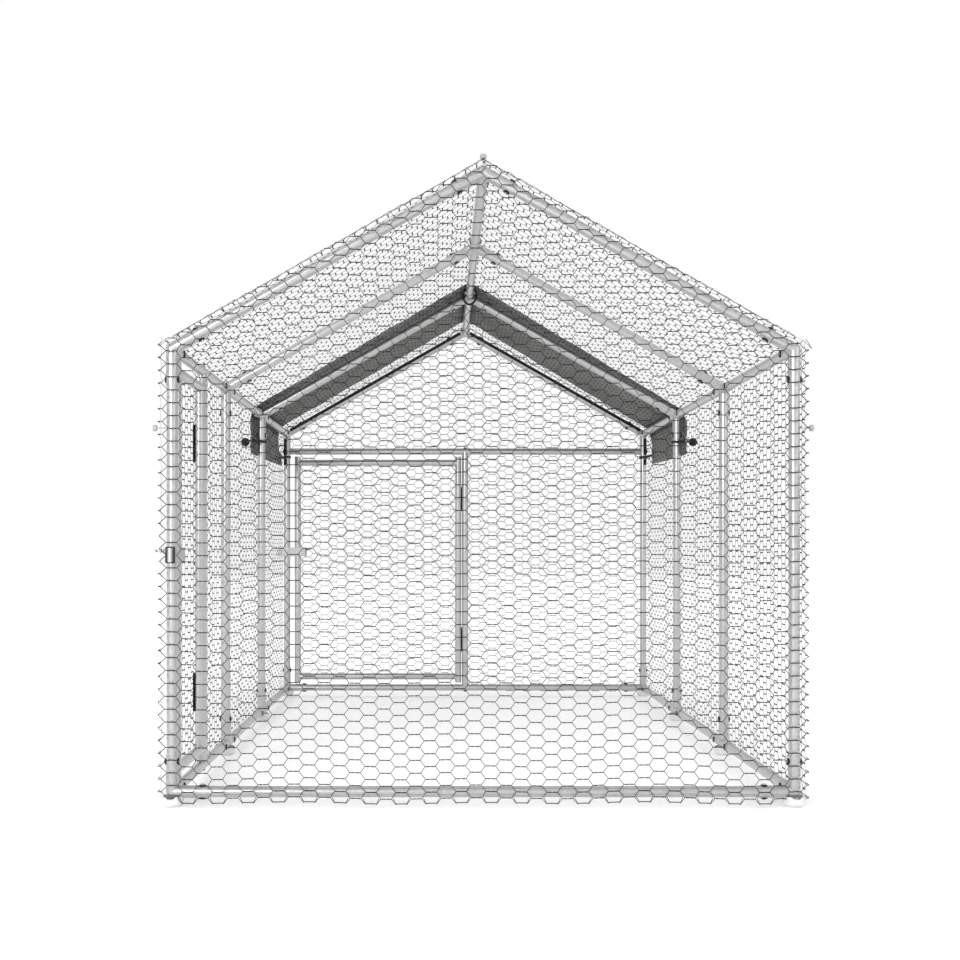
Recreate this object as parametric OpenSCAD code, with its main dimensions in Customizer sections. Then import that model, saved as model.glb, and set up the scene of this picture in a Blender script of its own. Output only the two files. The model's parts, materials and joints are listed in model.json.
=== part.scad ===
// Walk-in poultry run: a peaked frame of round steel tubes pushed into welded sockets, covered with
// hexagonal wire netting, with a weather cover over the front bay and two hinged doors.
// Millimetres. +Z is up, the front doorway faces +Y, and the origin is on the ground in the middle.

/* [Run] */
// Distance between the left and right post centres
run_width = 1950; // [1700:10:2400]
// Distance between neighbouring frames
bay_length = 985; // [850:5:1200]
// Height of the eave joints above the ground
eave_height = 1432; // [1350:1:1700]
// Height of the ridge joints above the ground
ridge_height = 1988; // [1900:1:2300]
// Height of the base rail centres above the ground
base_height = 45; // [42:1:70]

/* [Tubes] */
// Outside diameter of the frame tubes
tube_d = 35; // [32:1:38]
// How much thinner the door tubes are than the frame tubes
door_tube_step = 1; // [1:0.5:6]
// Wall thickness of every tube
tube_wall = 1; // [0.8:0.1:1.5]

/* [Joints] */
// Length of a connector socket from the joint centre
socket_length = 115; // [105:1:140]
// Wall thickness of a socket
socket_wall = 1.8; // [1.2:0.1:2.5]
// Distance of the socket bolt from the joint centre
bolt_distance = 95; // [85:1:100]
// Diameter of the bolts
bolt_d = 6; // [5:0.5:8]
// Diameter of the saddle washers
washer_d = 22; // [18:1:26]
// Diameter of a foot
foot_d = 72; // [60:1:90]

/* [Netting] */
// Netting columns in one bay
net_columns = 5; // [4:1:6]
// Width of a netting strand
net_strand = 4; // [3:0.5:7]
// Thickness of the netting
net_thickness = 1.6; // [1.2:0.1:3]

/* [Doors] */
// Gap between the hinge post and the hinge stile
hinge_gap = 4; // [3.5:0.5:14]
// Gap between the latch post and the latch stile
latch_gap = 24.5; // [20:0.5:30]
// Distance from the rail over a door down to the door's top rail
door_drop = 62; // [58:1:90]
// Distance from the base rail centre up to the door's bottom rail centre
door_lift = 61; // [58:1:90]
// Height of a hinge
hinge_height = 130; // [90:1:160]
// Height of the lower hinges' centres
hinge_low = 306; // [250:1:400]
// Height of the front door's upper hinge centre
front_hinge_high = 1077; // [900:1:1130]
// Height of the side door's upper hinge centre
side_hinge_high = 1175; // [900:1:1180]
// Height of the latch bolts
latch_height = 800; // [600:1:900]
// Travel of a latch bolt
latch_travel = 35; // [28:1:35]

/* [Cover] */
// How far the cover reaches behind the third frame
cover_back = 142; // [100:1:250]
// How far the side flaps reach past the front frame
cover_front = 25; // [20:1:60]
// How far the cover's roof stops short of the front frame at the eaves
cover_short = 88; // [70:1:200]
// How much further the roof's front edge curves in at the ridge
cover_scoop = 96; // [50:2:200]
// How far the side flaps hang below the eave joints
flap_drop = 188; // [160:1:300]
// Thickness of the cover
cover_thickness = 1.5; // [1:0.1:3]
// Diameter of a bungee ball
ball_d = 40; // [25:1:45]
// Diameter of the elastic cord
cord_d = 5; // [4:0.5:6]

/* [Hidden] */
$fn = 48;
seat = 0.05; // clearance of pieces that are clamped or welded together
slip = 0.3; // clearance of a tube in a socket, and of netting and cover over what they lie on
run_clearance = 0.05; // radial clearance of a hinge pin or a latch bolt

half_width = run_width / 2;
rear_y = -1.5 * bay_length;
front_y = 1.5 * bay_length;
side_post_y = rear_y + bay_length / 2;
frame_y = [for (i = [0:3]) rear_y + i * bay_length];
pitch = atan2(ridge_height - eave_height, half_width);
rafter_length = norm([half_width, ridge_height - eave_height]);
header_height = eave_height - bolt_distance;

tube_r = tube_d / 2;
door_r = tube_r - door_tube_step / 2;
bore_r = tube_r + slip;
socket_r = bore_r + socket_wall;
tube_stop = bore_r + 2; // tubes end this far from a joint centre
hole_r = bolt_d / 2 + 0.2;
head_height = bolt_d * 0.67;
head_r = bolt_d * 0.92;
washer_height = 1.5;
nut_height = bolt_d * 0.67;
plug_length = 62;
plug_bite = 22; // how far a plug bolt reaches into its plug

// The netting lies on the bolt heads, and the cover lies on the netting.
net_inner = socket_r + washer_height + head_height + slip;
net_outer = net_inner + net_thickness;
net_bottom = base_height - 9;
net_pitch = bay_length / net_columns;
net_row = net_pitch / 1.2;
net_twist = net_pitch * 0.693; // length of the twisted level edge
net_edge = net_strand * 1.2;
cover_inner = net_outer + slip;
cover_outer = cover_inner + cover_thickness;

// Directions of a connector's arms, as turns of an arm that points up.
up = [0, 0, 0];
down = [180, 0, 0];
to_front = [-90, 0, 0];
to_rear = [90, 0, 0];
to_right = [0, 90, 0];
to_left = [0, -90, 0];
rise_right = [0, 90 - pitch, 0];
rise_left = [0, pitch - 90, 0];
fall_left = [0, -90 - pitch, 0];
fall_right = [0, 90 + pitch, 0];

// Every connector is [position, arms].
base_joints = [
  for (i = [0:3], side = [-1, 1])
    [[side * half_width, frame_y[i], base_height],
     concat([up], i < 3 ? [to_front] : [], i > 0 ? [to_rear] : [],
            i == 0 || i == 3 ? [side < 0 ? to_right : to_left] : [])]];
eave_joints = [
  for (i = [0:3], side = [-1, 1])
    [[side * half_width, frame_y[i], eave_height],
     concat([down, side < 0 ? rise_right : rise_left],
            i < 3 ? [to_front] : [], i > 0 ? [to_rear] : [])]];
ridge_joints = [
  for (i = [0:3])
    [[0, frame_y[i], ridge_height],
     concat([fall_left, fall_right], i < 3 ? [to_front] : [], i > 0 ? [to_rear] : [])]];

// A branch end is [position on the main tube's axis, turns that take Z along the branch and X along
// the main tube, main tube radius].
header_left_end = [[-half_width, front_y, header_height], [[0, 90, 0], 0], socket_r];
header_right_end = [[half_width, front_y, header_height], [[0, -90, 0], 0], socket_r];
centre_low_end = [[0, front_y, base_height], [[0, 0, 0], 0], tube_r];
centre_high_end = [[0, front_y, header_height], [[180, 0, 0], 0], tube_r];
side_post_low_end = [[-half_width, side_post_y, base_height], [[0, 0, 0], 90], tube_r];
side_post_high_end = [[-half_width, side_post_y, eave_height], [[180, 0, 0], 90], tube_r];
branch_ends = [header_left_end, header_right_end, centre_low_end, centre_high_end,
               side_post_low_end, side_post_high_end];

// Door leaf, in a frame with its origin under the hinge post, X towards the latch post and -Y outward.
hinge_stile_x = tube_r + hinge_gap + door_r;
latch_stile_inset = tube_r + latch_gap + door_r;
door_y = door_r - tube_r; // outer faces of posts and stiles are flush
door_low = base_height + door_lift;
front_door_high = header_height - door_drop;
side_door_high = eave_height - door_drop;
stile_over = 30; // a stile runs past its rails by this much
front_span = half_width;
side_span = bay_length / 2;
door_net_inner = tube_r + slip;
door_net_outer = door_net_inner + net_thickness;
leaf_thickness = 2.5;
knuckle_r = 5.5;
pin_r = 3;
hinge_axis_x = tube_r + hinge_gap / 2;
hinge_axis_y = -tube_r - knuckle_r - slip;
hinge_split = 0.5; // gap between neighbouring knuckles
leaf_clear = 0.6; // gap between a leaf and the other leaf's knuckles

latch_plate_low = latch_height - 37;
latch_plate_high = latch_height + 11;
latch_plate_from = 105; // distances from the latch post, back along the wall
latch_plate_to = 30;
latch_plate_face = door_net_outer + slip + leaf_thickness;
latch_rod_r = 4.5;
latch_rod_y = -latch_plate_face - 8;
latch_guide = 10;
latch_guide_half = 8;
latch_rod_tip = 25;
latch_rod_length = latch_travel + 60;
latch_handle_at = 83;
latch_handle_length = 38;
latch_handle_r = 3;
keeper_half = 15;
keeper_block_from = 13;
keeper_block_length = 15;
keeper_play = 0.9; // gap between the bolt and the keeper strap
stop_sheet = 1.5;
stop_behind = 57; // how far the stop plate reaches past the latch post
stop_over = 101; // how far it reaches over the latch stile
stop_lip = 27;

net_end = front_y + net_inner - slip; // wall and roof netting stops just short of the gable netting
wall_net_top = eave_height + (net_inner - net_outer * sin(pitch)) / cos(pitch) - slip;
gable_half = half_width + net_outer;
gable_peak = ridge_height + net_inner / cos(pitch);

// The latch stop plate reaches out through a notch in the netting's edge.
notch_low = latch_plate_low - 6;
notch_high = latch_plate_high + 6;

roof_net_low = -net_outer * tan(45 - pitch / 2);
roof_net_high = rafter_length + net_inner * tan(pitch) - slip;

bungee_height = eave_height - socket_length - 11;
ball_off = 27; // gap between a ball and the cover
bungee_y = [frame_y[2], frame_y[3]];
ball_x = half_width + cover_outer + ball_off + ball_d / 2;
grommet_r = cord_d / 2 + 4;
cover_from = frame_y[2] - cover_back;
cover_to = front_y + cover_front;
loop_r = tube_r + slip + cord_d / 2;

// The hollow in a flap's front edge, which stays clear of the front cord's grommet.
hollow_y = front_y - 37;
hollow_z = eave_height - 42;
hollow_r = hollow_z - bungee_height - grommet_r - 12;

zinc = [0.74, 0.75, 0.76];
wire = [0.45, 0.46, 0.47];
black = [0.08, 0.08, 0.09];
steel = [0.62, 0.63, 0.65];
tarp = [0.36, 0.35, 0.33];
pale = [0.85, 0.85, 0.85];

// A bolt hole along X, right across a tube that stands on the origin.
module cross_hole(height)
  translate([0, 0, height]) rotate([0, 90, 0]) cylinder(r = hole_r, h = 4 * socket_r, center = true);

// A tube between two joints that are `span` apart, drilled for the socket bolts.
module socket_tube(span)
  difference() {
    translate([0, 0, tube_stop]) cylinder(r = tube_r, h = span - 2 * tube_stop);
    cylinder(r = tube_r - tube_wall, h = span);
    cross_hole(bolt_distance);
    cross_hole(span - bolt_distance);
  }

module post(side, i)
  color(zinc) translate([side * half_width, frame_y[i], base_height])
    socket_tube(eave_height - base_height);

module rafter(side, i)
  color(zinc) translate([side * half_width, frame_y[i], eave_height])
    rotate(side < 0 ? rise_right : rise_left) socket_tube(rafter_length);

module long_rails(x, z, bays = [0, 1, 2])
  for (i = bays)
    translate([x, frame_y[i], z]) rotate(to_front) socket_tube(bay_length);

module ridge_poles() color(zinc) long_rails(0, ridge_height);

// The left rails of the rear bay are also drilled for the side door's post.
module left_rails(z) {
  long_rails(-half_width, z, [1, 2]);
  difference() {
    long_rails(-half_width, z, [0]);
    translate([-half_width, side_post_y, z]) cylinder(r = hole_r, h = 4 * tube_r, center = true);
  }
}

module left_eave_rails() color(zinc) left_rails(eave_height);
module left_base_rails() color(zinc) left_rails(base_height);
module right_eave_rails() color(zinc) long_rails(half_width, eave_height);
module right_base_rails() color(zinc) long_rails(half_width, base_height);

module end_base_rail(y)
  translate([-half_width, y, base_height]) rotate(to_right) socket_tube(run_width);

module rear_base_rail() color(zinc) end_base_rail(rear_y);

module front_base_rail()
  color(zinc) difference() {
    end_base_rail(front_y);
    translate([0, front_y, base_height]) cylinder(r = hole_r, h = 4 * tube_r, center = true);
  }

module connector(arms)
  difference() {
    union() {
      sphere(r = socket_r);
      for (arm = arms) rotate(arm) cylinder(r = socket_r, h = socket_length);
    }
    for (arm = arms)
      rotate(arm) {
        translate([0, 0, tube_stop - slip]) cylinder(r = bore_r, h = socket_length);
        cross_hole(bolt_distance);
      }
  }

module connectors(joints)
  color(zinc) for (joint = joints) translate(joint[0]) connector(joint[1]);

module base_connectors() connectors(base_joints);
module eave_connectors() connectors(eave_joints);
module ridge_connectors() connectors(ridge_joints);

// Places its children at each end of each socket bolt, with Z outward along the bolt.
module at_socket_bolts()
  for (joint = concat(base_joints, eave_joints, ridge_joints), arm = joint[1])
    if (!is_header_post(joint, arm))
      translate(joint[0]) rotate(arm) translate([0, 0, bolt_distance]) rotate([0, 90, 0]) children();

// The bolts of these sockets also hold the header, so they belong to the branch ends.
function is_header_post(joint, arm) = joint[0].z == eave_height && arm == down && joint[0].y == front_y;

module at_branch_end(end)
  translate(end[0]) rotate(end[1][0]) rotate([0, 0, end[1][1]]) children();

module hex_prism(r, h) linear_extrude(h) circle(r = r, $fn = 6);

module through_bolt() {
  seat_height = socket_r + washer_height;
  translate([0, 0, -seat_height - nut_height]) cylinder(r = bolt_d / 2, h = 2 * seat_height + 2 * nut_height);
  translate([0, 0, seat_height]) hex_prism(head_r, head_height);
  translate([0, 0, -seat_height - nut_height]) hex_prism(head_r, nut_height);
}

module plug_bolt(main_r) {
  seat_height = main_r + washer_height;
  translate([0, 0, -seat_height - head_height])
    cylinder(r = bolt_d / 2, h = seat_height + head_height + main_r + plug_bite);
  translate([0, 0, -seat_height - head_height]) hex_prism(head_r, head_height);
}

module socket_bolts()
  color(steel) {
    at_socket_bolts() through_bolt();
    for (end = branch_ends) at_branch_end(end) plug_bolt(end[2]);
  }

// A washer curved to a tube that lies along X.
module saddle_washer(main_r)
  difference() {
    translate([0, 0, main_r / 2]) cylinder(d = washer_d, h = main_r / 2 + washer_height - seat);
    rotate([0, 90, 0]) cylinder(r = main_r + seat, h = 2 * washer_d, center = true);
    cylinder(r = hole_r, h = 2 * main_r);
  }

module saddle_washers()
  color(black) {
    at_socket_bolts() for (turn = [0, 180]) rotate([turn, 0, 0]) saddle_washer(socket_r);
    for (end = branch_ends) at_branch_end(end) rotate([180, 0, 0]) saddle_washer(end[2]);
  }

// A round dish under each base joint, with a seat for the joint's ball and notches for its sockets.
module foot_cup() {
  wall = 3;
  floor_height = 4;
  rim = base_height * 0.73;
  bevel = 9;
  difference() {
    union() {
      difference() {
        rotate_extrude()
          polygon([[0, 0], [foot_d / 2 - bevel, 0], [foot_d / 2, bevel], [foot_d / 2, rim], [0, rim]]);
        translate([0, 0, floor_height]) cylinder(r1 = foot_d / 2 - bevel, r2 = foot_d / 2 - wall, h = bevel);
        translate([0, 0, floor_height + bevel - seat]) cylinder(r = foot_d / 2 - wall, h = rim);
      }
      cylinder(r = socket_r * 0.7, h = rim);
    }
    translate([0, 0, base_height]) {
      sphere(r = socket_r + seat);
      rotate(to_right) cylinder(r = socket_r + slip, h = 2 * foot_d, center = true);
      rotate(to_front) cylinder(r = socket_r + slip, h = 2 * foot_d, center = true);
    }
  }
}

module foot_cups()
  color(pale) for (joint = base_joints) translate([joint[0].x, joint[0].y, 0]) foot_cup();

// A tube that ends on two parallel main tubes, with each end cut to the main tube's round.
module branch(low, high)
  at_branch_end(low) {
    span = norm(high[0] - low[0]);
    difference() {
      cylinder(r = tube_r, h = span);
      cylinder(r = tube_r - tube_wall, h = span);
      branch_cope(low[2]);
      translate([0, 0, span]) branch_cope(high[2]);
    }
  }

module branch_cope(main_r)
  rotate([0, 90, 0]) cylinder(r = main_r + seat, h = 4 * tube_r, center = true);

module front_header_rail()
  color(zinc) difference() {
    branch(header_left_end, header_right_end);
    translate([0, front_y, header_height]) cylinder(r = hole_r, h = 4 * tube_r, center = true);
  }

module front_centre_post() color(zinc) branch(centre_low_end, centre_high_end);

module side_door_post() color(zinc) branch(side_post_low_end, side_post_high_end);

module branch_plugs()
  color(steel) for (end = branch_ends)
    at_branch_end(end)
      difference() {
        cylinder(r = tube_r - tube_wall - slip / 2, h = plug_length);
        branch_cope(end[2]);
        cylinder(r = hole_r, h = end[2] + plug_bite + 1);
      }

// One gap of the netting, between two level twisted edges.
module net_gap() {
  shrink = 1 - net_strand / net_row;
  slant = net_pitch - net_twist;
  scale([shrink, shrink])
    polygon([
      [-net_twist / 2 - slant, 0], [-net_twist / 2, -net_row / 2], [net_twist / 2, -net_row / 2],
      [net_twist / 2 + slant, 0], [net_twist / 2, net_row / 2], [-net_twist / 2, net_row / 2]
    ]);
}

// Gaps over a rectangle, with a column on u_phase and rows that miss the bungee stems by a quarter row.
module net_gaps(u_range, v_range, u_phase) {
  reach_u = net_pitch * 0.55;
  reach_v = net_row * 0.42;
  v_phase = bungee_height - net_row / 4;
  first_column = ceil((u_range[0] - reach_u - u_phase) / net_pitch);
  last_column = floor((u_range[1] + reach_u - u_phase) / net_pitch);
  for (column = [first_column:last_column]) {
    lift = v_phase + (column % 2 == 0 ? 0 : net_row / 2);
    first_row = ceil((v_range[0] - reach_v - lift) / net_row);
    last_row = floor((v_range[1] + reach_v - lift) / net_row);
    for (row = [first_row:last_row])
      translate([u_phase + column * net_pitch, lift + row * net_row]) net_gap();
  }
}

module net_rectangle(u_range, v_range, u_phase)
  difference() {
    translate([u_range[0], v_range[0]]) square([u_range[1] - u_range[0], v_range[1] - v_range[0]]);
    intersection() {
      translate([u_range[0] + net_edge, v_range[0] + net_edge])
        square([u_range[1] - u_range[0] - 2 * net_edge, v_range[1] - v_range[0] - 2 * net_edge]);
      net_gaps(u_range, v_range, u_phase);
    }
  }

module on_left_wall()
  translate([-half_width - net_outer, 0, 0]) rotate([90, 0, 90]) linear_extrude(net_thickness) children();

module left_wall_net()
  color(wire) on_left_wall()
    difference() {
      net_rectangle([side_post_y, net_end], [net_bottom, wall_net_top], front_y);
      translate([front_y - tube_r - 8, notch_low]) square([2 * tube_d, notch_high - notch_low]);
    }

module right_wall_net()
  color(wire) mirror([1, 0, 0]) on_left_wall()
    net_rectangle([-net_end, net_end], [net_bottom, wall_net_top], front_y);

module left_roof_net()
  color(wire) translate([-half_width, 0, eave_height]) rotate([0, -pitch, 0]) translate([0, 0, net_inner])
    linear_extrude(net_thickness) mirror([1, -1, 0])
      net_rectangle([-net_end, net_end], [roof_net_low, roof_net_high], front_y);

module right_roof_net() color(wire) mirror([1, 0, 0]) left_roof_net();

// The gable's outline, set in by a margin and cut off below a level.
module gable_outline(margin, low) {
  side = gable_half - margin;
  slope_drop = margin / cos(pitch);
  peak = gable_peak - slope_drop;
  shoulder = peak - side * tan(pitch);
  polygon([[-side, low + margin], [side, low + margin], [side, shoulder], [0, peak], [-side, shoulder]]);
}

module gable_netting(low)
  difference() {
    gable_outline(0, low);
    intersection() {
      gable_outline(net_edge, low);
      net_gaps([-gable_half, gable_half], [low, gable_peak - net_row / 2], 0);
    }
  }

module rear_net()
  color(wire) translate([0, rear_y - net_inner, 0]) rotate([90, 0, 0]) linear_extrude(net_thickness)
    difference() {
      gable_netting(net_bottom);
      translate([-half_width - 2 * tube_d, notch_low]) square([2 * tube_d + tube_r + 8, notch_high - notch_low]);
    }

module on_front() translate([0, front_y + net_outer, 0]) rotate([90, 0, 0]) linear_extrude(net_thickness) children();

module front_gable_net() color(wire) on_front() gable_netting(header_height - 9);

module front_panel_net()
  color(wire) on_front()
    net_rectangle([-6, gable_half], [net_bottom, header_height - 9 - slip], 0);

// The cover's cross-section line at a distance outside the tube centres.
function cover_line(out) = let (eave = eave_height + out * (1 - sin(pitch)) / cos(pitch), x = half_width + out)
  [[-x, eave_height - flap_drop], [-x, eave], [0, ridge_height + out / cos(pitch)], [x, eave],
   [x, eave_height - flap_drop]];

function reversed(list) = [for (i = [len(list) - 1:-1:0]) list[i]];

// What is cut from the front: the roof's edge curves in to the ridge, and each flap is hollowed.
module cover_front_cut() {
  edge_half = half_width + cover_outer;
  scoop_r = (edge_half * edge_half + cover_scoop * cover_scoop) / (2 * cover_scoop);
  translate([0, front_y - cover_short - cover_scoop + scoop_r, hollow_z])
    cylinder(r = scoop_r, h = ridge_height, $fn = 200);
  translate([0, hollow_y, hollow_z]) rotate(to_right) cylinder(r = hollow_r, h = 3 * run_width, center = true);
  translate([-1.5 * run_width, hollow_y, hollow_z - hollow_r])
    cube([3 * run_width, cover_to - hollow_y + 1, 2 * hollow_r]);
}

module cover()
  color(tarp) difference() {
    translate([0, cover_to, 0]) rotate([90, 0, 0]) linear_extrude(cover_to - cover_from)
      polygon(concat(cover_line(cover_outer), reversed(cover_line(cover_inner))));
    cover_front_cut();
    for (y = bungee_y)
      translate([0, y, bungee_height]) rotate(to_right)
        cylinder(r = grommet_r, h = 3 * run_width, center = true);
  }

module at_bungees()
  for (y = bungee_y, turn = [0, 180])
    translate([0, y, bungee_height]) rotate([0, 0, turn]) children();

module cord_loop() rotate_extrude() translate([loop_r, 0]) circle(d = cord_d);

// A loop round each post with a stem out through the netting and the cover's grommet, and a loop
// round the ridge pole in front of the third frame.
module bungee_cords()
  color(black) {
    at_bungees() {
      translate([half_width, 0, 0]) cord_loop();
      translate([half_width + loop_r, 0, 0]) rotate(to_right)
        cylinder(d = cord_d, h = ball_x - half_width - loop_r - ball_d * 0.25);
    }
    translate([0, frame_y[2] + socket_length + cord_d, ridge_height]) rotate(to_front) cord_loop();
  }

module bungee_balls()
  color(black) at_bungees()
    difference() {
      translate([ball_x, 0, 0]) sphere(d = ball_d);
      translate([half_width, 0, 0]) rotate(to_right)
        cylinder(d = cord_d + 2 * seat, h = ball_x - half_width - ball_d * 0.25 + seat);
    }

// Places a door's pieces: X runs from the hinge post to the latch post, and -Y is outward.
module in_front() translate([0, front_y, 0]) rotate([0, 0, 180]) children();
module in_side() translate([-half_width, side_post_y, 0]) rotate([0, 0, -90]) children();

module door_frame(span, high) {
  latch_stile_x = span - latch_stile_inset;
  stile = high - door_low + 2 * stile_over;
  cap = 3;
  for (x = [hinge_stile_x, latch_stile_x])
    translate([x, door_y, 0]) {
      translate([0, 0, door_low - stile_over])
        difference() {
          cylinder(r = door_r, h = stile);
          translate([0, 0, -1]) cylinder(r = door_r - tube_wall, h = stile + 2);
        }
      translate([0, 0, high + stile_over + seat]) stile_cap(cap);
      translate([0, 0, door_low - stile_over - seat]) mirror([0, 0, 1]) stile_cap(cap);
    }
  for (z = [door_low, high])
    translate([hinge_stile_x, door_y, z]) rotate(to_right)
      difference() {
        rail = latch_stile_x - hinge_stile_x;
        cylinder(r = door_r, h = rail);
        cylinder(r = door_r - tube_wall, h = rail);
        for (end = [0, rail])
          translate([0, 0, end]) rotate([0, 90, 0]) cylinder(r = door_r + seat, h = 4 * door_r, center = true);
      }
}

module stile_cap(cap) {
  cylinder(r = door_r, h = cap);
  translate([0, 0, -4 * cap]) cylinder(r = door_r - tube_wall - slip / 2, h = 4 * cap + 1);
}

module door_net(span, high) {
  margin = 6;
  translate([0, -door_net_inner, 0]) rotate([90, 0, 0]) linear_extrude(net_thickness)
    net_rectangle([hinge_stile_x - margin, span - latch_stile_inset + margin],
                  [door_low - margin, high + margin], (hinge_stile_x + span - latch_stile_inset) / 2);
}

// A knuckle of a hinge, as a share of the hinge's height from its bottom.
module knuckle(from, to)
  translate([hinge_axis_x, hinge_axis_y, from * hinge_height + hinge_split / 2])
    cylinder(r = knuckle_r, h = (to - from) * hinge_height - hinge_split);

module pin_bore()
  translate([hinge_axis_x, hinge_axis_y, -1]) cylinder(r = pin_r + run_clearance, h = hinge_height + 2);

// A plate from x1 to x2 whose inner face is a distance outside the post centres.
module leaf_plate(x1, x2, inner, from, to)
  translate([x1, -inner - leaf_thickness, from * hinge_height + hinge_split / 2])
    cube([x2 - x1, leaf_thickness, (to - from) * hinge_height - hinge_split]);

module door_leaf() {
  near = hinge_axis_x + knuckle_r + leaf_clear;
  inner = door_net_outer + slip;
  difference() {
    union() {
      leaf_plate(near, hinge_stile_x + door_r * 0.9, inner, 0, 1);
      for (share = [[0, 1 / 3], [2 / 3, 1]]) {
        knuckle(share[0], share[1]);
        leaf_plate(hinge_axis_x, near + 1, inner, share[0], share[1]);
      }
    }
    pin_bore();
  }
}

module post_leaf() {
  near = hinge_axis_x - knuckle_r - leaf_clear;
  difference() {
    union() {
      leaf_plate(-tube_r * 0.8, near, tube_r + seat, 0, 1);
      knuckle(1 / 3, 2 / 3);
      leaf_plate(near - 1, hinge_axis_x, tube_r + seat, 1 / 3, 2 / 3);
    }
    pin_bore();
  }
}

module hinge_pin() {
  head = 2;
  translate([hinge_axis_x, hinge_axis_y, -head]) cylinder(r = pin_r, h = hinge_height + 2 * head);
  translate([hinge_axis_x, hinge_axis_y, hinge_height + slip]) cylinder(r = pin_r * 1.4, h = head);
}

module at_hinges(high) for (z = [hinge_low, high]) translate([0, 0, z - hinge_height / 2]) children();

// A block that stands on a face and reaches past the latch rod.
module rod_block(x, length, face)
  translate([x, latch_rod_y - latch_guide_half, latch_height - latch_guide_half])
    cube([length, -face - latch_rod_y + latch_guide_half, 2 * latch_guide_half]);

module latch_plate(span) {
  from = span - latch_plate_from;
  to = span - latch_plate_to;
  translate([from, -latch_plate_face, latch_plate_low])
    cube([to - from, leaf_thickness, latch_plate_high - latch_plate_low]);
  for (x = [from, to - latch_guide])
    difference() {
      rod_block(x, latch_guide, latch_plate_face - 1);
      translate([x - 1, latch_rod_y, latch_height]) rotate(to_right)
        cylinder(r = latch_rod_r + run_clearance, h = latch_guide + 2);
    }
}

// The bolt is drawn unlocked, with its tip just short of the keeper.
module latch_bolt(span) {
  tip = span - latch_rod_tip;
  translate([tip - latch_rod_length, latch_rod_y, latch_height]) rotate(to_right)
    cylinder(r = latch_rod_r, h = latch_rod_length);
  translate([span - latch_handle_at, latch_rod_y, latch_height]) {
    rotate(to_rear) cylinder(r = latch_handle_r, h = latch_handle_length);
    translate([0, -latch_handle_length, 0]) sphere(r = latch_handle_r * 1.6);
  }
}

// A plate on the latch post with a strap that the bolt slides under.
module latch_keeper(span) {
  from = span - keeper_block_from;
  slot = latch_rod_r + keeper_play;
  translate([span - keeper_half, -tube_r - seat - leaf_thickness, latch_plate_low])
    cube([2 * keeper_half, leaf_thickness, latch_plate_high - latch_plate_low]);
  difference() {
    rod_block(from, keeper_block_length, tube_r + leaf_thickness - 1);
    translate([from - 1, latch_rod_y - slot, latch_height - slot])
      cube([keeper_block_length + 2, 2 * slot, 2 * slot]);
  }
}

// A pressed plate on the latch post that the closed door's stile rests against.
module stop_plate(span) {
  height = latch_plate_high - latch_plate_low;
  inner = tube_r + seat + stop_sheet;
  translate([span - stop_over, tube_r + seat, latch_plate_low]) cube([stop_over + stop_behind, stop_sheet, height]);
  for (x = [span - stop_over, span + stop_behind - stop_sheet])
    translate([x, inner - stop_lip, latch_plate_low]) cube([stop_sheet, stop_lip, height]);
}

module latch_stop_plates()
  color(zinc) {
    in_front() stop_plate(front_span);
    in_side() stop_plate(side_span);
  }

module latch_keepers()
  color(steel) {
    in_front() latch_keeper(front_span);
    in_side() latch_keeper(side_span);
  }

module post_hinge_leaves()
  color(black) {
    in_front() at_hinges(front_hinge_high) post_leaf();
    in_side() at_hinges(side_hinge_high) post_leaf();
  }

module hinge_pins()
  color(steel) {
    in_front() at_hinges(front_hinge_high) hinge_pin();
    in_side() at_hinges(side_hinge_high) hinge_pin();
  }

module front_door_frame() color(zinc) in_front() door_frame(front_span, front_door_high);
module front_door_net() color(wire) in_front() door_net(front_span, front_door_high);
module front_hinge_leaves() color(black) in_front() at_hinges(front_hinge_high) door_leaf();
module front_latch_plate() color(steel) in_front() latch_plate(front_span);
module front_latch_bolt() color(steel) in_front() latch_bolt(front_span);

module side_door_frame() color(zinc) in_side() door_frame(side_span, side_door_high);
module side_door_net() color(wire) in_side() door_net(side_span, side_door_high);
module side_hinge_leaves() color(black) in_side() at_hinges(side_hinge_high) door_leaf();
module side_latch_plate() color(steel) in_side() latch_plate(side_span);
module side_latch_bolt() color(steel) in_side() latch_bolt(side_span);

post(-1, 0);  // post_left_1
post(-1, 1);  // post_left_2
post(-1, 2);  // post_left_3
post(-1, 3);  // post_left_4
post(1, 0);  // post_right_1
post(1, 1);  // post_right_2
post(1, 2);  // post_right_3
post(1, 3);  // post_right_4
rafter(-1, 0);  // rafter_left_1
rafter(-1, 1);  // rafter_left_2
rafter(-1, 2);  // rafter_left_3
rafter(-1, 3);  // rafter_left_4
rafter(1, 0);  // rafter_right_1
rafter(1, 1);  // rafter_right_2
rafter(1, 2);  // rafter_right_3
rafter(1, 3);  // rafter_right_4
ridge_poles();
left_eave_rails();
right_eave_rails();
left_base_rails();
right_base_rails();
rear_base_rail();
front_base_rail();
base_connectors();
eave_connectors();
ridge_connectors();
socket_bolts();
saddle_washers();
foot_cups();
front_header_rail();
front_centre_post();
side_door_post();
branch_plugs();
rear_net();
left_wall_net();
right_wall_net();
left_roof_net();
right_roof_net();
front_gable_net();
front_panel_net();
cover();
bungee_cords();
bungee_balls();
post_hinge_leaves();
hinge_pins();
latch_keepers();
latch_stop_plates();
front_door_frame();
front_door_net();
front_hinge_leaves();
front_latch_plate();
front_latch_bolt();
side_door_frame();
side_door_net();
side_hinge_leaves();
side_latch_plate();
side_latch_bolt();
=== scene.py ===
import json
import math

import bpy
import numpy as np
from mathutils import Matrix, Vector

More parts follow.
